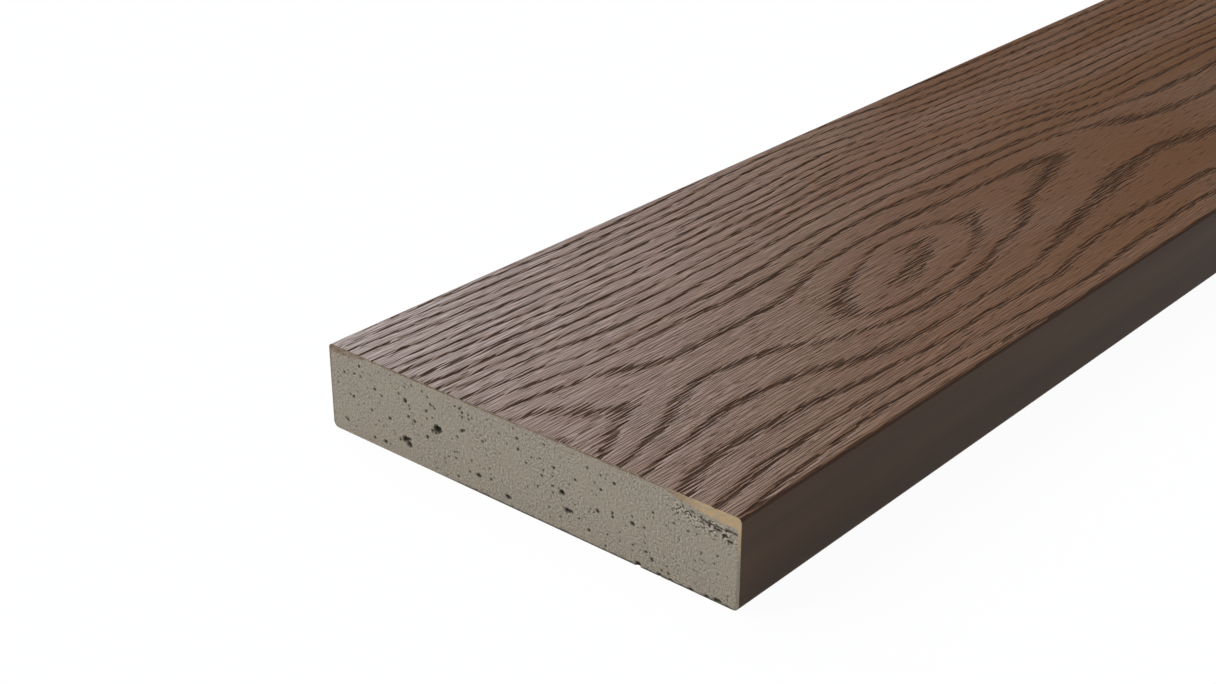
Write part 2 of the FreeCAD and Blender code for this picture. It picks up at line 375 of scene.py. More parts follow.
def inner_outline(middle_steps=12):
    """Back along the core: up the wall, over its face between the two hollows, and down."""
    foot_y = HALF - FOOT_ROUND
    halves = []
    for side in (BACK, FRONT):
        wall_y = side * (HALF - SKIN[side])
        turn = arc(side * foot_y, FOOT_ROUND, FOOT_ROUND - SKIN[side], -90, -90 + side * 90, 4)
        wall = run((wall_y, FOOT_ROUND), (wall_y, DEPTH - POOL_DEPTH[side]), SIDE_RUNS)
        halves.append([turn, wall, pool_arc(side)])
    back, front = halves[0], [part[::-1] for part in halves[1][::-1]]
    return back + [run(back[-1][-1], front[0][0], middle_steps)] + front


def skin_outline(face_steps):
    """The closed outline, and the finish of the face that starts at each of its points."""
    outer = outer_outline(face_steps)
    outline = np.vstack(outer + inner_outline())
    finish = np.full(len(outline), PLAIN)
    face_start = sum(len(part) for part in outer[:3])
    finish[face_start - 1 - EDGE_STEPS : face_start + len(outer[3]) + EDGE_STEPS] = GRAINED
    return outline, finish


outline, finish = skin_outline(200)
print(len(outline), "points round the skin,", (finish == GRAINED).sum(), "of its faces grained")

# %% [markdown]
# ## From an outline to a piece
#
# A sweep is a grid: one column of points for each place along the board, one row for each point
# of the outline, and four neighbours make a face. Each end is closed by a flat face, so the piece
# is a solid, as the real one is.
#
# Each piece also gets a map for baking, laid out by the script: its surface is unrolled into one band
# along the board, in which the faces that show most take the most room, and its ends lie below, so that
# its grain keeps most of the map's pixels.

# %% A mesh from arrays
def make_piece(name, points, faces, slots, materials, attributes, map_places):
    """One object at the origin: points in millimetres from the sawn end, faces as lists of point
    numbers, a material slot for each face, named numbers for each point, and a place on the
    baking map for each corner of each face."""
    mesh = bpy.data.meshes.new(name)
    mesh.from_pydata((points + [skin_low[0], 0, 0]) / 1000, [], faces)
    for material in materials:
        mesh.materials.append(material)
    mesh.polygons.foreach_set("material_index", np.asarray(slots, np.int32))
    for label, values in attributes.items():
        layer = mesh.attributes.new(label, "FLOAT", "POINT")
        layer.data.foreach_set("value", np.asarray(values, np.float32).ravel())
    baking_map = mesh.uv_layers.new(name="OFBake")
    baking_map.uv.foreach_set("vector", np.asarray(map_places, np.float32).ravel())
    mesh.shade_smooth()
    mesh.set_sharp_from_angle(angle=math.radians(62))
    piece = bpy.data.objects.new(name, mesh)
    bpy.context.collection.objects.link(piece)
    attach(piece, "root")
    return piece


def loop_faces(columns, around):
    """Quads between neighbouring columns of a closed outline, wound to face outwards."""
    column, point = np.meshgrid(np.arange(columns - 1), np.arange(around), indexing="ij")
    here, beside = column * around + point, column * around + (point + 1) % around
    return np.stack([here, here + around, beside + around, beside], -1).reshape(-1, 4)


def loop_map(along, path):
    """Map places for loop_faces: across the map by the place along, from 0 to 1, and up it by the
    place on the path round the outline, which has one more place than the outline has points."""
    u0, v0 = np.meshgrid(along[:-1], path[:-1], indexing="ij")
    u1, v1 = np.meshgrid(along[1:], path[1:], indexing="ij")
    corners = [(u0, v0), (u1, v0), (u1, v1), (u0, v1)]
    return np.stack([np.stack(corner, -1) for corner in corners], -2).reshape(-1, 2)


def weighted_path(outline, weights, low, high):
    """Places from low to high round a closed outline: the length of each run times its weight,
    added up and scaled."""
    runs = np.linalg.norm(np.roll(outline, -1, 0) - outline, axis=1) * weights
    return low + (high - low) * np.append(0, np.cumsum(runs)) / runs.sum()


print("a sweep of 3 columns round 4 points has", len(loop_faces(3, 4)), "faces")

# %% [markdown]
# ## Finishes
#
# A material here is a small graph of nodes. Each colour is written as it would be picked from a
# screen, in sRGB hex, and turned to the linear values that light adds up in. Patterns read the
# board's own coordinates in metres, so each is scaled by a real size on the board.

# %% Colours and nodes
def linear(hex_colour):
    """sRGB hex to linear red, green, blue and alpha: a straight foot, then a 2.4 power."""
    channels = [int(hex_colour[i : i + 2], 16) / 255 for i in (1, 3, 5)]
    bent = [c / 12.92 if c <= 0.04045 else ((c + 0.055) / 1.055) ** 2.4 for c in channels]
    return (*bent, 1.0)


def add(tree, kind, inputs, output=0, **settings):
    """Adds a node with its settings. Each input is a plain value or the output of another node.
    Returns the output that later nodes read."""
    node = tree.nodes.new(kind)
    for name, value in settings.items():
        setattr(node, name, value)
    for name, value in inputs.items():
        if isinstance(value, bpy.types.NodeSocket):
            tree.links.new(value, node.inputs[name])
        else:
            node.inputs[name].default_value = value
    return node.outputs[output]


def new_material(name):
    """An empty material with its output; returns it, its graph and the output's surface input."""
    material = bpy.data.materials.new(name)
    material.use_nodes = True
    tree = material.node_tree
    tree.nodes.clear()
    surface = tree.nodes.new("ShaderNodeOutputMaterial").inputs["Surface"]
    return material, tree, surface


print("the skin's brown in linear light", [round(c, 3) for c in linear("#644839")[:3]])

# %% The kinds of node, and a noise measured in millimetres
COORDINATES, ATTRIBUTE, MAPPING = "ShaderNodeTexCoord", "ShaderNodeAttribute", "ShaderNodeMapping"
NOISE, REMAP, MATHS, MIX = "ShaderNodeTexNoise", "ShaderNodeMapRange", "ShaderNodeMath", "ShaderNodeMix"
BUMP, PRINCIPLED = "ShaderNodeBump", "ShaderNodeBsdfPrincipled"


def cells(tree, x, y, z, detail, shift=0.0):
    """Noise on the board's own metres, whose cells measure x by y by z millimetres, read shift
    millimetres further across the board."""
    place = add(tree, COORDINATES, {}, "Object")
    fitted = {"Vector": place, "Scale": (1000 / x, 1000 / y, 1000 / z), "Location": (0, shift / y, 0)}
    return add(tree, NOISE, {"Vector": add(tree, MAPPING, fitted), "Scale": 1, "Detail": detail})


def fine_lines(tree, length, pitch):
    """Fine lines along the board, about -0.3 to 0.3: a noise less itself half a pitch across. All
    that is broader than the pitch cancels out, and the lines of that pitch stay."""
    here, beside = (cells(tree, length, 0.65 * pitch, 40, 0.5, shift) for shift in (0, pitch / 2))
    return add(tree, MATHS, {0: here, 1: beside}, operation="SUBTRACT")


print("a noise of 1 mm cells is scaled by", 1000 / 1)

# %% [markdown]
# ### The grained wear face
#
# The skin is an elastomer, tough and slightly rubbery, moulded against oak and coloured in two passes: a
# brown all over, and a darker wash that stays behind in the pores. The pores are too fine for the mesh,
# so the shade inside them is painted into their dark colour as well. The grain's hairs are coloured
# lighter on their crests and darker between them, which is painted highlight and shade of their relief.
# Over the front half the land between pores is darkened a little: painted shade for the light falling
# weaker there. It has a low satin sheen on its high parts and none down in the slits. So one number, how
# deep in a pore a place lies, drives the colour, the roughness and the bump together.

# %% Moulded elastomer with washed-in pores
def grained_elastomer():
    """Satin brown with matt dark pores, whose dark is partly wash and partly painted shade. Slits are
    fine lines about 9 mm long and 1.2 mm apart, cut off at a height that falls where pores crowd. Hairs,
    the gaps between the oak's fibres, run all over, 0.85 mm apart: real ones are half as wide, too fine
    to show. Their crests are coloured lighter and their valleys darker, which is painted highlight and
    shade of their relief. The crests of the hairs carry the sheen as a thin coat, which is thinner over
    the front half, and the slits have none. Over the front half the land is darkened a little, as painted
    shade."""
    material, tree, surface = new_material("grained_elastomer_moulded")
    crowding = add(tree, ATTRIBUTE, {}, "Fac", attribute_name="crowding")
    warmth = add(tree, ATTRIBUTE, {}, "Fac", attribute_name="warmth")
    # This attribute darkens the land and thins the coat over the front half; the darkening is painted
    # shade.
    front_shade = add(tree, ATTRIBUTE, {}, "Fac", attribute_name="front_shade")
    hairs = add(tree, REMAP, {"Value": fine_lines(tree, 12, 0.85), 1: -0.14, 2: 0.03})
    lines = fine_lines(tree, 9, 1.2)
    crowded = add(tree, MATHS, {0: crowding, 1: 0.39, 2: lines}, operation="MULTIPLY_ADD")
    slits = add(tree, REMAP, {"Value": crowded, 1: 0.29, 2: 0.37})

    # The hairs' valleys take the darker colour and their crests the lighter one: the brown's own tone,
    # with painted shade and highlight of the hairs' relief.
    low = add(tree, MIX, {0: warmth, 6: linear("#523B2B"), 7: linear("#5F4229")}, 2, data_type="RGBA")
    high = add(tree, MIX, {0: warmth, 6: linear("#805C43"), 7: linear("#734C31")}, 2, data_type="RGBA")
    hair_tone_and_shade = add(tree, MIX, {0: hairs, 6: low, 7: high}, 2, data_type="RGBA")
    # Share of the dark colour: in the slits it is the wash, with the shade inside the pores painted in;
    # on the land it is the painted shade over the front half.
    share = add(tree, REMAP, {"Value": slits, 3: front_shade, 4: 0.87})
    wash_and_shade = add(tree, MIX, {0: share, 6: hair_tone_and_shade, 7: linear("#2F231B")}, 2, data_type="RGBA")
    roughness = add(tree, REMAP, {"Value": slits, 3: 0.5, 4: 0.9})
    crests = add(tree, REMAP, {"Value": hairs, 3: 0.42, 4: 0.92})
    dulled = add(tree, MATHS, {0: front_shade, 1: -1.2, 2: crests}, operation="MULTIPLY_ADD")
    coat = add(tree, MATHS, {0: dulled, 1: slits}, operation="SUBTRACT", use_clamp=True)

    sunk = add(tree, MATHS, {0: slits, 1: -0.26}, operation="MULTIPLY")
    relief = add(tree, MATHS, {0: hairs, 1: 0.05, 2: sunk}, operation="MULTIPLY_ADD")
    bump = add(tree, BUMP, {"Height": relief, "Distance": 0.001, "Strength": 1.0})
    look = {"Base Color": wash_and_shade, "Roughness": roughness, "Normal": bump, "IOR": 1.5,
            "Specular IOR Level": 0.05, "Coat Weight": coat, "Coat Roughness": 0.2,
            "Coat IOR": 1.5, "Coat Normal": bump}
    tree.links.new(add(tree, PRINCIPLED, look), surface)
    return material


grained_face = grained_elastomer()
print(grained_face.name, "has", len(grained_face.node_tree.nodes), "nodes")

# %% [markdown]
# ### The plain long edges
#
# The long edges are the same elastomer, cast against a smooth part of the mould. They have no pores, and
# are coloured a darker, duller brown than the wear face, with faint long stains from the casting. Along
# their top the brown of the wear face wears through as a thin reddish line.

# %% Plain moulded elastomer
def plain_elastomer():
    """Dull dark brown. Stains are noise cells of 160 by 7 mm. The reddish line starts where the
    top edge begins to round over, read from the height in metres."""
    material, tree, surface = new_material("plain_elastomer_moulded")
    place = add(tree, COORDINATES, {}, "Object")
    height = add(tree, "ShaderNodeSeparateXYZ", {"Vector": place}, "Z")
    stains = add(tree, REMAP, {"Value": cells(tree, 160, 9, 7, 2), 1: 0.35, 2: 0.65})
    brown = add(tree, MIX, {0: stains, 6: linear("#4D3522"), 7: linear("#573E28")}, 2, data_type="RGBA")
    edge = add(tree, REMAP, {"Value": height, 1: 0.0296, 2: 0.0316})
    worn = add(tree, MIX, {0: edge, 6: brown, 7: linear("#5A3F31")}, 2, data_type="RGBA")
    look = {"Base Color": worn, "Roughness": 0.65, "IOR": 1.5, "Specular IOR Level": 0.3}
    tree.links.new(add(tree, PRINCIPLED, look), surface)
    return material


plain_edge = plain_elastomer()
print(plain_edge.name, "has", len(plain_edge.node_tree.nodes), "nodes")

# %% [markdown]
# ### The sawn skin
#
# Inside, the skin is uncoloured. The saw shows it as a line of ochre, brightest where it pooled
# at the front corner. Elsewhere the saw dragged foam dust over it, so it is brown at the back
# corner, dull along the face, and as grey as the foam down at the feet.

# %% Sawn elastomer
def sawn_elastomer():
    """Ochre towards the front corner and brown elsewhere, under dust that thickens downwards.
    Torn patches are noise cells of 2.5 by 1.2 mm."""
    material, tree, surface = new_material("sawn_elastomer")
    place = add(tree, COORDINATES, {}, "Object")
    across = add(tree, "ShaderNodeSeparateXYZ", {"Vector": place}, "Y")
    height = add(tree, "ShaderNodeSeparateXYZ", {"Vector": place}, "Z")
    torn = cells(tree, 4, 2.5, 1.2, 3)
    pooled = add(tree, REMAP, {"Value": across, 1: -0.058, 2: -0.074})
    brown = add(tree, MIX, {0: pooled, 6: linear("#6F5942"), 7: linear("#B1946A")}, 2, data_type="RGBA")
    patches = add(tree, REMAP, {"Value": torn, 1: 0.40, 2: 0.62, 4: 0.55})
    pale = add(tree, MIX, {0: patches, 6: brown, 7: linear("#978A78")}, 2, data_type="RGBA")
    dust = add(tree, REMAP, {"Value": height, 1: 0.0285, 2: 0.016})
    dusty = add(tree, MIX, {0: dust, 6: pale, 7: linear("#7E7363")}, 2, data_type="RGBA")
    bump = add(tree, BUMP, {"Height": torn, "Distance": 0.0005, "Strength": 0.8})
    look = {"Base Color": dusty, "Roughness": 0.75, "Normal": bump, "IOR": 1.5}
    tree.links.new(add(tree, PRINCIPLED, look), surface)
    return material


sawn_skin = sawn_elastomer()
print(sawn_skin.name, "has", len(sawn_skin.node_tree.nodes), "nodes")

# %% [markdown]
# ### The sawn foam
#
# The core is a resin full of sand and gas, so a cut through it looks like fine mortar: grey-beige, sandy,
# a little cloudy and quite matt. Bubbles are dark because light hardly reaches their insides: their pits
# are dented into the mesh, and the shade in them is painted into their colour as well. Near the front
# corner the saw crumbled it, which leaves whitish crumbs and cracks, whose dark is painted shade. Painted
# shade also marks a crack under the pooled skin, and a painted shadow runs along the bottom where the
# board meets the floor.

# %% Sawn mineral foam
def sawn_foam():
    """Sand is noise cells of 0.8 mm, drawn coarser than the real 0.3 mm so that it shows. Clouds are 14
    mm and crumbs 1 by 0.8 mm. The mesh says where the cut is crumbled, and how much painted shade lies in
    its bubbles, in its crack and along its bottom."""
    material, tree, surface = new_material("sawn_mineral_foam")
    painted_cut_shade = add(tree, ATTRIBUTE, {}, "Fac", attribute_name="painted_cut_shade")
    crumbled = add(tree, ATTRIBUTE, {}, "Fac", attribute_name="crumbled")
    sand, crumbs = cells(tree, 0.8, 0.8, 0.8, 4), cells(tree, 1.0, 1.0, 0.8, 1)
    grain = add(tree, REMAP, {"Value": sand, 1: 0.32, 2: 0.68})
    grey = add(tree, MIX, {0: grain, 6: linear("#766C5F"), 7: linear("#A79B89")}, 2, data_type="RGBA")
    haze = add(tree, REMAP, {"Value": cells(tree, 14, 14, 10, 2), 1: 0.35, 2: 0.65, 4: 0.5})
    clouded = add(tree, MIX, {0: haze, 6: grey, 7: linear("#968B79")}, 2, data_type="RGBA")
    tops = add(tree, REMAP, {"Value": crumbs, 1: 0.54, 2: 0.62})
    chalk = add(tree, MATHS, {0: crumbled, 1: tops}, operation="MULTIPLY")
    chalky = add(tree, MIX, {0: chalk, 6: clouded, 7: linear("#ACA290")}, 2, data_type="RGBA")
    # Painted shade: the crumbs' low places, the cracks between them, take the dark colour.
    cracks = add(tree, REMAP, {"Value": crumbs, 1: 0.46, 2: 0.39})
    painted_crack_shade = add(tree, MATHS, {0: crumbled, 1: cracks}, operation="MULTIPLY")
    # Painted shade: the cracks among the crumbs, the pits, the crack under the skin and the line along
    # the bottom take the dark colour below.
    hollow = add(tree, MATHS, {0: painted_crack_shade, 1: painted_cut_shade}, operation="MAXIMUM")
    pitted = add(tree, MIX, {0: hollow, 6: chalky, 7: linear("#2E261C")}, 2, data_type="RGBA")
    height = add(tree, MATHS, {0: crumbs, 1: crumbled, 2: sand}, operation="MULTIPLY_ADD")
    bump = add(tree, BUMP, {"Height": height, "Distance": 0.0005, "Strength": 0.8})
    look = {"Base Color": pitted, "Roughness": 0.85, "Normal": bump, "IOR": 1.5}
    tree.links.new(add(tree, PRINCIPLED, look), surface)
    return material


foam = sawn_foam()
print(foam.name, "has", len(foam.node_tree.nodes), "nodes")

# %% [markdown]
# ## The skin, in five lengths
#
# The real skin runs through from end to end. Its grain needs far more points than one mesh should
# hold, so it is made as five lengths that meet exactly, each reading the same ring map. The
# first one, by the saw cut, is the one that a photograph shows closely, and has the finest grid.

# %% Five lengths of skin
LENGTH_COUNT = 5
lengths = np.linspace(0, LENGTH, LENGTH_COUNT + 1)


def column_places(start, end, count, nearness):
    """Places along a length, from evenly spread (nearness 0) to packed towards its start."""
    share = np.linspace(0, 1, count)
    return start + (end - start) * ((1 - nearness) * share + nearness * share**2)


def warm_patches(x, y):
    """0 to 1: soft orange-brown patches, 90 by 16 mm, smoother than the rest, hardly there near
    the sawn end and fully there 380 mm from it, and one broad patch past the oval."""
    patches = ramp(lattice_noise(x, y, 90, 16, 61), 0.35, 0.80)
    broad = 1 - ramp(np.hypot((x - 335) / 115, (y + 22) / 32), 0.45, 1.0)
    return np.maximum(patches * (0.3 + 0.7 * ramp(x, 80, 380)), 0.75 * broad)


def painted_front_shade(y):
    """Share of dark colour laid over the land between pores, as painted shade for the light that falls
    weaker towards the front: none towards the back edge, up to 0.16 over the front half."""
    return 0.16 * ramp(-y, -60, 20)


# On the baking map the wear face has most of the height, and the two ends lie side by side below.
RUN_WEIGHT = {GRAINED: 1.0, PLAIN: 0.35}
INNER_WEIGHT = 0.04
ENDS_HEIGHT, MAP_PER_MM = 0.09, 0.0027


def skin_length(number, start, end, columns, face_steps, nearness):
    """Sweeps the outline along one length, and sinks its wear face by the grain's relief."""
    outline, finish = skin_outline(face_steps)
    around = len(outline)
    x = column_places(start, end, columns, nearness)
    points = np.empty((columns, around, 3))
    points[..., 0] = x[:, None]
    points[..., 1:] = outline
    face = np.flatnonzero(finish == GRAINED)
    crowding, relief, warmth, front_shade = np.zeros((4, columns, around))
    crowding[:, face], _, relief[:, face] = grain(x, outline[face, 0])
    # Painted shade: how much the land is darkened over the front half.
    front_shade[:, face] = painted_front_shade(outline[face, 0])
    warmth[:, face] = warm_patches(*np.meshgrid(x, outline[face, 0], indexing="ij"))
    points[..., 2] -= relief
    quads = loop_faces(columns, around)
    near_end = np.arange(around)
    far_end = near_end[::-1] + (columns - 1) * around
    faces = quads.tolist() + [near_end.tolist(), far_end.tolist()]
    slots = np.append(np.tile(finish, columns - 1), [SAWN, SAWN])

    weights = np.array([RUN_WEIGHT[kind] for kind in finish])
    weights[sum(len(part) for part in outer_outline(face_steps)) :] = INNER_WEIGHT
    path = weighted_path(outline, weights, ENDS_HEIGHT + 0.01, 1.0)
    end_map = MAP_PER_MM * (outline + [HALF, 0])
    far_map = end_map[::-1] + [0.5, 0]
    map_places = np.vstack([loop_map((x - start) / (end - start), path), end_map, far_map])

    numbers = {"crowding": crowding, "warmth": warmth, "front_shade": front_shade}
    finishes = [grained_face, plain_edge, sawn_skin]
    points = points.reshape(-1, 3)
    piece = make_piece(f"skin_length_{number}", points, faces, slots, finishes, numbers, map_places)
    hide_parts("wear_skin")
    print(piece.name, "has", 2 * len(quads) + 2 * (around - 2), "triangles")
    return piece


for number in range(LENGTH_COUNT):
    columns, face_steps, nearness = (226, 350, 0.4) if number == 0 else (212, 216, 0.0)
    skin_length(number + 1, lengths[number], lengths[number + 1], columns, face_steps, nearness)

# %% [markdown]
# ## The foam core and its saw cut
#
# Foam rises with gas bubbles in it, and a saw opens them as round pits with dark insides. On the near cut
# the larger bubbles are listed one by one. On the far cut, which lies out of the picture, they are strewn
# by chance. Each pit pushes the cut's grid inwards as a ball would.

# %% The core's section, and where its bubbles are
# Across the board from its centre line, up from the underside, half width, half height, in mm.
BUBBLES = [
    (36.7, 16.8, 1.9, 1.6), (52.2, 7.4, 1.5, 1.2), (50.2, 6.2, 1.4, 1.0), (50.0, 8.3, 0.9, 0.5),
    (-18.3, 14.0, 1.4, 1.1), (-21.1, 8.4, 1.6, 0.9), (54.6, 6.7, 0.5, 0.6), (38.8, 15.5, 0.7, 0.6),
    (5.0, 3.4, 1.4, 0.65), (18.0, 6.4, 1.1, 0.7), (51.3, 22.3, 0.9, 1.0), (-47.2, 14.2, 0.9, 0.8),
    (47.2, 16.0, 0.75, 0.7), (50.0, 16.8, 0.55, 0.5), (41.4, 12.3, 0.7, 0.6), (66.1, 21.6, 0.7, 0.6),
    (76.9, 15.1, 0.65, 0.55), (59.2, 12.9, 0.65, 0.6), (25.1, 20.3, 0.7, 0.6), (0.2, 22.6, 0.55, 0.5),
    (0.6, 26.4, 0.6, 0.5), (-3.3, 19.0, 0.5, 0.45), (-15.0, 21.6, 0.65, 0.6), (-23.9, 20.7, 0.55, 0.5),
    (-39.8, 25.4, 0.65, 0.55), (-34.2, 26.2, 0.5, 0.45), (-28.9, 26.8, 0.5, 0.4), (-39.1, 14.7, 0.5, 0.5),
    (-39.3, 13.4, 0.5, 0.5), (-33.1, 13.1, 0.7, 0.65), (-29.6, 4.8, 0.65, 0.55), (-17.8, 4.9, 0.5, 0.4),
    (-54.8, 4.6, 0.65, 0.6), (80.7, 4.9, 0.85, 0.5), (67.2, 2.7, 0.65, 0.5), (62.0, 3.1, 0.85, 0.65),
    (54.4, 24.0, 0.5, 0.45), (37.4, 24.2, 0.5, 0.45), (21.9, 27.3, 0.5, 0.4), (21.7, 25.7, 0.5, 0.4),
    (75.9, 24.2, 0.45, 0.4), (72.8, 24.2, 0.45, 0.4), (-49.4, 0.8, 1.2, 1.0), (68.0, 12.9, 0.5, 0.45),
    (41.1, 22.1, 0.4, 0.4), (27.2, 17.3, 0.5, 0.45), (28.9, 11.2, 0.45, 0.4), (27.4, 2.6, 0.5, 0.4),
    (15.8, 19.8, 0.5, 0.45), (-10.0, 17.0, 0.45, 0.4), (-21.4, 18.2, 0.45, 0.4), (-37.0, 6.2, 0.5, 0.4),
    (-55.0, 21.2, 0.45, 0.4), (-51.7, 14.6, 0.5, 0.45), (-58.0, 0.5, 0.9, 0.5), (-62.0, 0.4, 0.7, 0.4),
    (-70.0, 0.5, 1.0, 0.4), (-76.0, 0.6, 1.2, 0.4), (-80.0, 0.8, 1.6, 0.5), (-76.5, 25.9, 1.6, 0.4),
    (-79.5, 25.0, 1.6, 0.45), (-82.3, 23.9, 1.4, 0.45), (-84.4, 22.6, 0.9, 0.5),
]


def core_bottom(y):
    """Height of the core's lower side: flat, then from each foot a quarter round inside it."""
    side_skin = np.where(y > 0, SKIN[BACK], SKIN[FRONT])
    beyond, radius = np.abs(y) - (HALF - FOOT_ROUND), FOOT_ROUND - side_skin
    rounded = FOOT_ROUND - np.sqrt(np.clip(radius**2 - np.clip(beyond, 0, None) ** 2, 0, None))
    return np.where(beyond >= 0, rounded, 0.0)


def core_top(y):
    """Height of the core's upper side: flat, with the two hollows towards its corners."""
    height = np.full_like(y, DEPTH - SKIN_FACE)
    for side in (FRONT, BACK):
        rise, across = POOL_DEPTH[side] - SKIN_FACE, POOL_WIDTH[side] - SKIN[side]
        radius = (across**2 + rise**2) / (2 * rise)
        from_wall = np.clip(HALF - SKIN[side] - side * y, 0, None)
        drop = np.sqrt(radius**2 - np.minimum(from_wall, across) ** 2)
        arc_height = DEPTH - POOL_DEPTH[side] + radius - drop
        height = np.where(from_wall < across, arc_height, height)
    return height


def strewn_bubbles(count, smallest, largest, seed):
    """Bubbles by chance: most of them near the smallest size."""
    dice = np.random.default_rng(seed)
    size = smallest + (largest - smallest) * dice.random(count) ** 3
    y, z = dice.uniform(-HALF + 2, HALF - 2, count), dice.uniform(1.0, DEPTH - 2, count)
    return np.column_stack([y, z, size, size * dice.uniform(0.7, 1.0, count)])


def pitted(y, z, bubbles):
    """Depth and painted shade of the pits on a cut: a ball's depth is the root of (1 - d^2), where d is
    the distance from its middle in its own half sizes, made a little ragged by noise. The shade is the
    dark inside each pit, put into its colour."""
    depth, dark = np.zeros_like(y), np.zeros_like(y)
    ragged = 0.5 * (lattice_noise(y * 20 + 1800, z, 20, 1.1, 41) - 0.5)
    for middle_y, middle_z, half_y, half_z in bubbles:
        distance = np.hypot((y - middle_y) / half_y, (z - middle_z) / half_z) + ragged
        depth = np.maximum(depth, 0.9 * half_z * np.sqrt(np.clip(1 - distance**2, 0, None)))
        # Painted shade inside the pit, fading out at its rim.
        dark = np.maximum(dark, 1 - ramp(distance, 0.75, 1.15))
    return depth, dark


def crumbling(y, z):
    """0 to 1: strong just under the pooled skin near the front corner, thinning out 8 mm below
    it, and nothing elsewhere."""
    below, across = core_top(y) - z, ramp(-y, 56, 66)
    patchy = ramp(lattice_noise(y * 20 + 1800, z, 50, 2.5, 42), 0.15, 0.45)
    return across * ramp(below, 0.8, 1.6) * ramp(below, 8, 4.5) * patchy


def painted_crevice_shade(y, z):
    """0 to 1: painted shade of a crack, about 0.8 mm high, where the saw pulled the foam off the pooled
    skin. The crack has no depth in the mesh. It wanders between 1 and 3 mm below the skin and has gaps."""
    wander = 1.0 + 2.0 * lattice_noise(y * 20 + 1800, z * 0, 70, 3, 44)
    gaps = ramp(lattice_noise(y * 20 + 1800, z, 36, 3, 45), 0.25, 0.45)
    crack = ramp(np.abs(core_top(y) - z - wander), 0.65, 0.2)
    return crack * gaps * ramp(-y, 64, 74)


def painted_contact_shadow(y, z):
    """0 to 1: a dark ragged line, about 0.6 mm high, along the bottom of the cut, fading out between 20
    and 40 mm behind the centre line: painted shadow where the board meets the floor.
    """
    height = 0.25 + 0.9 * lattice_noise(y * 20 + 1800, z * 0, 30, 3, 43)
    return (1 - ramp(z, 0.6 * height, height)) * ramp(-y, -40, -20)


print(len(BUBBLES), "bubbles placed by hand;", core_top(np.array([0.0, -86.0])).round(2))

# %% The core, in the same five lengths
CUT_GRID_MM = 0.34


def core_places(step):
    """Places across the core: even steps, and both sides of the step at each foot."""
    foot = HALF - FOOT_ROUND
    ends = [(core_low[1], -foot), (-foot + 0.001, foot - 0.001), (foot, core_high[1])]
    runs = [np.linspace(a, b, max(2, int((b - a) / step) + 2)) for a, b in ends]
    return np.concatenate(runs)


def rim_of(columns, rows):
    """Point numbers round the edge of a grid: along the bottom, up, back along the top, down."""
    grid = np.arange(columns * rows).reshape(columns, rows)
    return np.concatenate([grid[:, 0], grid[-1, 1:], grid[-2::-1, -1], grid[0, -2:0:-1]])


# On the baking map the cut is at the bottom, the walls are above it and the plain end between.
CUT_HEIGHT, WALLS_LOW = 0.30, 0.34
UNDERSIDE_WEIGHT, COVERED_WEIGHT = 1.0, 0.05


def core_length(number, start, end, bubbles, cut_at):
    """One length of core: a grid over one end, walls along, and one plain face at the other end.
    cut_at is the sawn end's place, or None for a length between."""
    y = core_places(CUT_GRID_MM if cut_at is not None else 4.0)
    rows = int((DEPTH - SKIN_FACE) / CUT_GRID_MM) + 1 if cut_at is not None else 9
    low, high = core_bottom(y), core_top(y)
    z = low[:, None] + np.linspace(0, 1, rows) * (high - low)[:, None]
    y = np.repeat(y[:, None], rows, 1)
    count = y.size
    grid = np.arange(count).reshape(y.shape)
    squares = np.stack([grid[:-1, :-1], grid[:-1, 1:], grid[1:, 1:], grid[1:, :-1]], -1).reshape(-1, 4)
    depth, dark, crumbled = np.zeros((3, *y.shape))
    if cut_at is not None:
        depth, dark = pitted(y, z, bubbles)
    if cut_at == 0:
        crumbled = crumbling(y, z)
        # Painted shade of the crack under the skin, and painted shadow along the bottom where the board
        # meets the floor.
        dark = np.maximum(dark, 0.8 * np.maximum(painted_contact_shadow(y, z), painted_crevice_shade(y, z)))
    grid_x, plain_x = (end, start) if cut_at == end else (start, end)
    inwards = 1 if plain_x > grid_x else -1
    front = np.stack([grid_x + inwards * depth, y, z], -1).reshape(-1, 3)
    rim = rim_of(*y.shape)
    back = front[rim].copy()
    back[:, 0] = plain_x
    around = np.arange(len(rim))
    beside = (around + 1) % len(rim)
    walls = np.stack([rim[beside], count + beside, count + around, rim[around]], -1)

    end_map = front[:, 1:] * [0.99 / (2 * HALF), CUT_HEIGHT / DEPTH] + [0.5, 0]
    plain_map = end_map[rim] * [1, 0.05] + [0, CUT_HEIGHT + 0.01]
    section = front[rim, 1:]
    below = np.maximum(section[:, 1], np.roll(section[:, 1], -1)) < 0.01
    weights = np.where(below, UNDERSIDE_WEIGHT, COVERED_WEIGHT)
    path = weighted_path(section, weights, WALLS_LOW, 1.0)
    left, right = np.zeros(len(rim)), np.ones(len(rim))
    corners = [(left, path[1:]), (right, path[1:]), (right, path[:-1]), (left, path[:-1])]
    wall_map = np.stack([np.column_stack(corner) for corner in corners], 1)
    faces = [*squares, *walls, count + around]
    places = [*end_map[squares], *wall_map, plain_map]
    if inwards < 0:
        faces = [face[::-1] for face in faces]
        places = [place[::-1] for place in places]
    faces = [face.tolist() for face in faces]
    points = np.vstack([front, back])
    unseen = np.zeros(len(rim))
    # Painted shade of the pits, the crack and the line along the bottom, read by the foam's material.
    numbers = {"painted_cut_shade": np.append(dark, unseen), "crumbled": np.append(crumbled, unseen)}
    slots = np.zeros(len(faces))
    name = f"core_length_{number}"
    piece = make_piece(name, points, faces, slots, [foam], numbers, np.vstack(places))
    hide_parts("core_slab")
    print(piece.name, "has", 2 * (len(squares) + len(walls)) + len(rim) - 2, "triangles")
    return piece


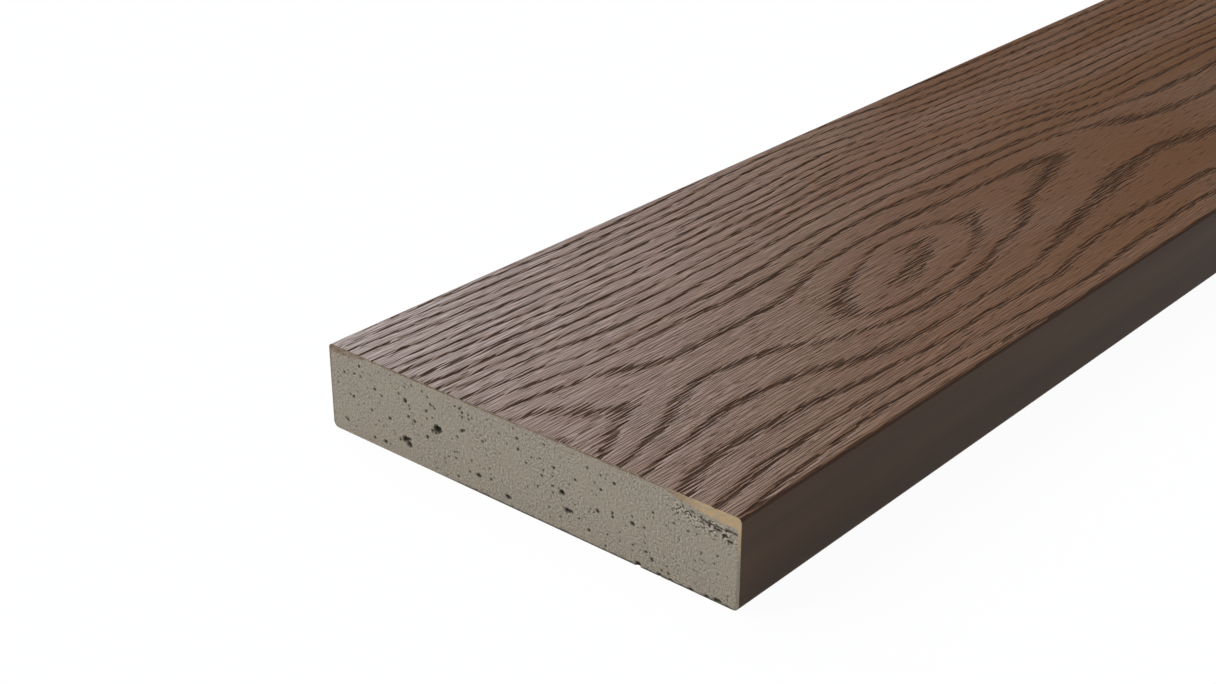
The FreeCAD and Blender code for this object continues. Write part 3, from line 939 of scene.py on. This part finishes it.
near_bubbles = np.vstack([BUBBLES, strewn_bubbles(220, 0.28, 0.55, 51)])
far_bubbles = strewn_bubbles(200, 0.28, 1.9, 52)
for number in range(LENGTH_COUNT):
    start, end = lengths[number], lengths[number + 1]
    cut_at = start if number == 0 else end if number == LENGTH_COUNT - 1 else None
    core_length(number + 1, start, end, near_bubbles if number == 0 else far_bubbles, cut_at)

# %% [markdown]
# ## The floor
#
# The board is shown as in a catalogue: lying on white. A lit white floor would throw its light up
# at the board, so the white is only what the camera and mirrors see. To all other rays the floor
# is plain pale paint, and the board's soft shadow stays on it.

# %% White floor
FLOOR_REACH = 12.0
WHITE_SHARE = 0.96


def pale_floor():
    """White light to camera, glossy and transmitted rays, and pale matt paint to all others."""
    material, tree, surface = new_material("pale_studio_floor")
    paint = add(tree, "ShaderNodeBsdfDiffuse", {"Color": linear("#E6E6E6")})
    white = add(tree, "ShaderNodeEmission", {"Color": linear("#FFFFFF"), "Strength": 1.0})
    rays = tree.nodes.new("ShaderNodeLightPath").outputs
    direct = {0: rays["Is Camera Ray"], 1: rays["Is Glossy Ray"]}
    seen = add(tree, MATHS, direct, operation="ADD")
    both = {0: seen, 1: rays["Is Transmission Ray"]}
    seen = add(tree, MATHS, both, operation="ADD", use_clamp=True)
    share = add(tree, MATHS, {0: seen, 1: WHITE_SHARE}, operation="MULTIPLY")
    tree.links.new(add(tree, "ShaderNodeMixShader", {0: share, 1: paint, 2: white}), surface)
    return material


floor_mesh = bpy.data.meshes.new("floor")
corners = [(-1, -1, 0), (1, -1, 0), (1, 1, 0), (-1, 1, 0)]
floor_mesh.from_pydata([[FLOOR_REACH * c for c in corner] for corner in corners], [], [(0, 1, 2, 3)])
floor_mesh.materials.append(pale_floor())
floor = bpy.data.objects.new("floor", floor_mesh)
bpy.context.collection.objects.link(floor)
print("floor", 2 * FLOOR_REACH, "m square")

# %% [markdown]
# ## The studio's light
#
# A big softbox stands to the left behind the board. It gives the wear face its low sheen, which
# is strongest where the view runs towards it, at the far corner of the cut. A weaker light hangs
# overhead, and a soft key light from behind on the left makes the grain's relief show. The world
# holds the first two: each is a soft-edged round patch of sky.

# %% Softbox and overhead light in the world
world = bpy.data.worlds.new("studio")
bpy.context.scene.world = world
world.use_nodes = True
sky = world.node_tree
sky.nodes.clear()
SOFTBOX_LEVEL, OVERHEAD_LEVEL, ROOM_LEVEL = 3.8, 0.3, 0.03


def direction(heading, elevation):
    """A unit vector from a heading off +X towards +Y and an elevation, in degrees."""
    heading, elevation = math.radians(heading), math.radians(elevation)
    flat = math.cos(elevation)
    return Vector((flat * math.cos(heading), flat * math.sin(heading), math.sin(elevation)))


def how_near(target, start, end):
    """0 where a ray's direction is at least start degrees off the target, 1 within end."""
    place = add(sky, COORDINATES, {}, "Generated")
    near = add(sky, "ShaderNodeVectorMath", {0: place, 1: target}, "Value", operation="DOT_PRODUCT")
    ends = {"Value": near, 1: math.cos(math.radians(start)), 2: math.cos(math.radians(end))}
    return add(sky, REMAP, ends, interpolation_type="SMOOTHSTEP")


softbox = how_near(direction(80, 36), 46, 20)
overhead = how_near(direction(0, 90), 58, 25)
room = add(sky, MATHS, {0: overhead, 1: OVERHEAD_LEVEL, 2: ROOM_LEVEL}, operation="MULTIPLY_ADD")
lit = add(sky, MATHS, {0: softbox, 1: SOFTBOX_LEVEL, 2: room}, operation="MULTIPLY_ADD")
rays = sky.nodes.new("ShaderNodeLightPath").outputs
clear = add(sky, MATHS, {0: rays["Is Camera Ray"], 1: rays["Is Transmission Ray"]}, operation="ADD")
mirrored = {0: rays["Is Glossy Ray"], 1: softbox, 2: clear}
white = add(sky, MATHS, mirrored, operation="MULTIPLY_ADD", use_clamp=True)
strength = add(sky, MATHS, {0: lit, 1: white}, operation="MAXIMUM")
background = {"Color": linear("#ECF5FF"), "Strength": strength}
world_surface = sky.nodes.new("ShaderNodeOutputWorld").inputs["Surface"]
sky.links.new(add(sky, "ShaderNodeBackground", background), world_surface)
print("the world has", len(sky.nodes), "nodes")

# %% Key light
sun_data = bpy.data.lights.new("key_light", "SUN")
sun_data.energy = 2.0
sun_data.angle = math.radians(25)
sun = bpy.data.objects.new("key_light", sun_data)
bpy.context.collection.objects.link(sun)
sun.rotation_euler = direction(135, 36).to_track_quat("Z", "Y").to_euler()
print("key light of", sun_data.energy, "W per square metre")

# %% [markdown]
# ## The camera
#
# It stands a little to the front of the sawn end, at the height of a raised hand, and looks along
# the board and down. The place and the lens were worked out from the board's corners in the photo.

# %% Camera
camera_data = bpy.data.cameras.new("camera")
camera_data.sensor_width, camera_data.lens = 36.0, 57.1
camera_data.clip_start = 0.01
camera = bpy.data.objects.new("camera", camera_data)
bpy.context.collection.objects.link(camera)
camera.location = (-2.1837, -0.3683, 0.3206)
camera.rotation_euler = (math.radians(90 - 26.10), 0, math.radians(40.78 - 90))
bpy.context.scene.camera = camera
bpy.context.scene.view_settings.view_transform = "Standard"
print("camera at", tuple(round(c, 3) for c in camera.location))
